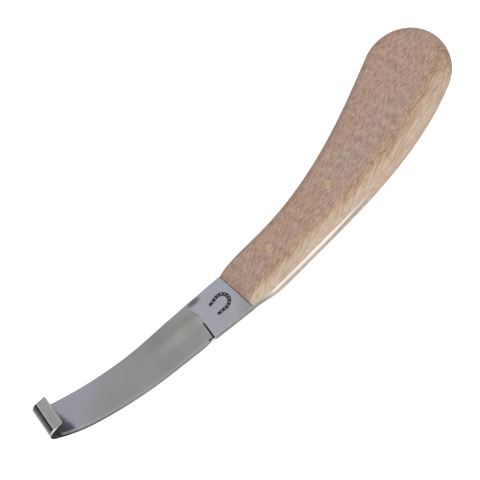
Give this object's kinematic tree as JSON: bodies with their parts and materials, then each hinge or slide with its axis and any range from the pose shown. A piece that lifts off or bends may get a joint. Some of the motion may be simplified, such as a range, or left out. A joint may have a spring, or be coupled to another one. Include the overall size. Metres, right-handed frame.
{
  "type": "farrier's hoof knife",
  "caption": "Farrier's hoof knife: an upswept steel blade ending in a rolled hook, its tang riveted into a slot in a curved flat-sided wooden handle.",
  "frame": {"origin": "centre of the whole knife's box in X and Y, on the handle's flat back (z = 0)", "axes": "+X along the blade's neck towards the hook, +Y towards the convex edge where the tang shows, +Z out of the face that the hook curls over"},
  "size_m": [0.2068, 0.0559, 0.0242],
  "materials": {
    "beech": "plain sanded steamed beech",
    "blade_steel": "fine ground stainless steel",
    "rivet_brass": "dull brass, ground flush with the wood"
  },
  "bodies": {
    "root": {"handle": "beech", "blade": "blade_steel", "front_rivet": "rivet_brass", "rear_rivet": "rivet_brass"}
  },
  "joints": []
}
